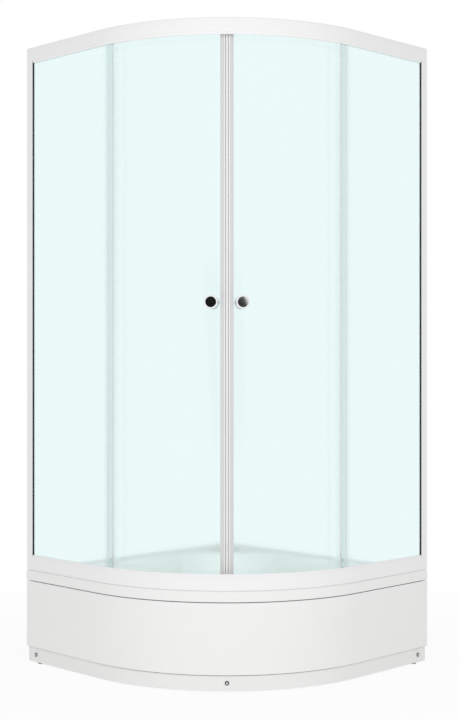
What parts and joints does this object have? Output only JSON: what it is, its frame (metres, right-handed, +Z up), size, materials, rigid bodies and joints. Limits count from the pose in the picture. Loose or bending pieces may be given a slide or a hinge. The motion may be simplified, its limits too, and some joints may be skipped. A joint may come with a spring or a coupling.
{
  "type": "corner shower enclosure",
  "caption": "Quarter round corner shower enclosure with frosted sliding doors in white rails, standing on a deep white tray with an apron and levelling feet.",
  "frame": {"origin": "on the floor, under the middle of the square plan", "axes": "+Z up; the walls are behind -X and +Y, so the round front faces +X and -Y"},
  "size_m": [0.9, 0.9, 1.95],
  "materials": {
    "white_acrylic": "gloss white moulded acrylic sheet",
    "white_plastic": "satin white plastic",
    "white_aluminium": "white powder coated aluminium extrusion",
    "frosted_glass": "satin frosted pale green toughened glass",
    "black_rubber": "black rubber",
    "white_vinyl": "soft white vinyl",
    "clear_vinyl": "milky see-through vinyl",
    "chrome": "polished chrome plate",
    "zinc_steel": "zinc plated steel",
    "black_plastic": "black moulded plastic",
    "white_nylon": "white nylon"
  },
  "bodies": {
    "enclosure": {"bottom_rail": "white_aluminium", "corner_keys": "white_plastic", "corner_screws": "zinc_steel", "door_stops": "black_rubber", "front_support_bar": "zinc_steel", "kickboard": "white_plastic", "kickboard_brackets": "zinc_steel", "kickboard_screws": "chrome", "left_fixed_glass": "frosted_glass", "left_fixed_seal": "clear_vinyl", "left_glazing_gasket": "black_rubber", "left_rail_gaskets": "white_vinyl", "left_support_bar": "zinc_steel", "left_wall_profile": "white_aluminium", "leg_feet": "black_plastic", "leg_nuts": "zinc_steel", "leg_studs": "zinc_steel", "right_fixed_glass": "frosted_glass", "right_fixed_seal": "clear_vinyl", "right_glazing_gasket": "black_rubber", "right_rail_gaskets": "white_vinyl", "right_support_bar": "zinc_steel", "right_wall_profile": "white_aluminium", "screw_cups": "chrome", "shower_tray": "white_acrylic", "support_cross_bar": "zinc_steel", "top_rail": "white_aluminium", "tray_apron": "white_acrylic", "waste_flange": "chrome", "waste_gasket": "black_rubber", "waste_trap": "white_plastic"},
    "drain_cover": {"drain_cover": "chrome"},
    "left_door": {"left_door_glass": "frosted_glass", "left_magnet_seal": "white_vinyl", "left_rear_seal": "clear_vinyl", "left_knob": "chrome", "left_inner_knob": "chrome", "left_knob_bolt": "zinc_steel", "left_knob_washers": "white_vinyl", "left_top_hangers": "white_nylon", "left_bottom_guides": "white_nylon", "left_roller_axles": "zinc_steel"},
    "left_top_front_wheel": {"left_top_front_wheel": "white_nylon"},
    "left_top_rear_wheel": {"left_top_rear_wheel": "white_nylon"},
    "left_bottom_front_wheel": {"left_bottom_front_wheel": "white_nylon"},
    "left_bottom_rear_wheel": {"left_bottom_rear_wheel": "white_nylon"},
    "right_door": {"right_door_glass": "frosted_glass", "right_magnet_seal": "white_vinyl", "right_rear_seal": "clear_vinyl", "right_knob": "chrome", "right_inner_knob": "chrome", "right_knob_bolt": "zinc_steel", "right_knob_washers": "white_vinyl", "right_top_hangers": "white_nylon", "right_bottom_guides": "white_nylon", "right_roller_axles": "zinc_steel"},
    "right_top_front_wheel": {"right_top_front_wheel": "white_nylon"},
    "right_top_rear_wheel": {"right_top_rear_wheel": "white_nylon"},
    "right_bottom_front_wheel": {"right_bottom_front_wheel": "white_nylon"},
    "right_bottom_rear_wheel": {"right_bottom_rear_wheel": "white_nylon"}
  },
  "joints": [
    {"name": "left_door_slide", "type": "hinge", "parent": "enclosure", "child": "left_door", "pos_m": [-0.1369, 0.2033, 1.123], "axis": [0, 0, -1], "range_deg": [0, 24]},
    {"name": "left_top_front_roll", "type": "hinge", "parent": "left_door", "child": "left_top_front_wheel", "pos_m": [0.20876, -0.32498, 1.9289], "axis": [0.5878, -0.809, 0], "range_deg": [0, 1390]},
    {"name": "left_top_rear_roll", "type": "hinge", "parent": "left_door", "child": "left_top_rear_wheel", "pos_m": [0.00922, -0.41382, 1.9289], "axis": [0.2079, -0.9781, 0], "range_deg": [0, 1390]},
    {"name": "left_bottom_front_roll", "type": "hinge", "parent": "left_door", "child": "left_bottom_front_wheel", "pos_m": [0.20876, -0.32498, 0.3171], "axis": [0.5878, -0.809, 0], "range_deg": [-1390, 0]},
    {"name": "left_bottom_rear_roll", "type": "hinge", "parent": "left_door", "child": "left_bottom_rear_wheel", "pos_m": [0.00922, -0.41382, 0.3171], "axis": [0.2079, -0.9781, 0], "range_deg": [-1390, 0]},
    {"name": "right_door_slide", "type": "hinge", "parent": "enclosure", "child": "right_door", "pos_m": [-0.2033, 0.1369, 1.123], "axis": [0, 0, 1], "range_deg": [0, 24]},
    {"name": "right_top_front_roll", "type": "hinge", "parent": "right_door", "child": "right_top_front_wheel", "pos_m": [0.32498, -0.20876, 1.9289], "axis": [0.809, -0.5878, 0], "range_deg": [-1390, 0]},
    {"name": "right_top_rear_roll", "type": "hinge", "parent": "right_door", "child": "right_top_rear_wheel", "pos_m": [0.41382, -0.00922, 1.9289], "axis": [0.9781, -0.2079, 0], "range_deg": [-1390, 0]},
    {"name": "right_bottom_front_roll", "type": "hinge", "parent": "right_door", "child": "right_bottom_front_wheel", "pos_m": [0.32498, -0.20876, 0.3171], "axis": [0.809, -0.5878, 0], "range_deg": [0, 1390]},
    {"name": "right_bottom_rear_roll", "type": "hinge", "parent": "right_door", "child": "right_bottom_rear_wheel", "pos_m": [0.41382, -0.00922, 0.3171], "axis": [0.9781, -0.2079, 0], "range_deg": [0, 1390]},
    {"name": "drain_cover_lift", "type": "slide", "parent": "enclosure", "child": "drain_cover", "axis": [0, 0, 1], "range_m": [0, 0.08]}
  ],
  "couplings": [
    {"joint": "left_top_front_roll", "follows": "left_door_slide", "ratio": 57.324},
    {"joint": "left_top_rear_roll", "follows": "left_door_slide", "ratio": 57.638},
    {"joint": "left_bottom_front_roll", "follows": "left_door_slide", "ratio": -57.324},
    {"joint": "left_bottom_rear_roll", "follows": "left_door_slide", "ratio": -57.638},
    {"joint": "right_top_front_roll", "follows": "right_door_slide", "ratio": -57.324},
    {"joint": "right_top_rear_roll", "follows": "right_door_slide", "ratio": -57.638},
    {"joint": "right_bottom_front_roll", "follows": "right_door_slide", "ratio": 57.324},
    {"joint": "right_bottom_rear_roll", "follows": "right_door_slide", "ratio": 57.638}
  ]
}
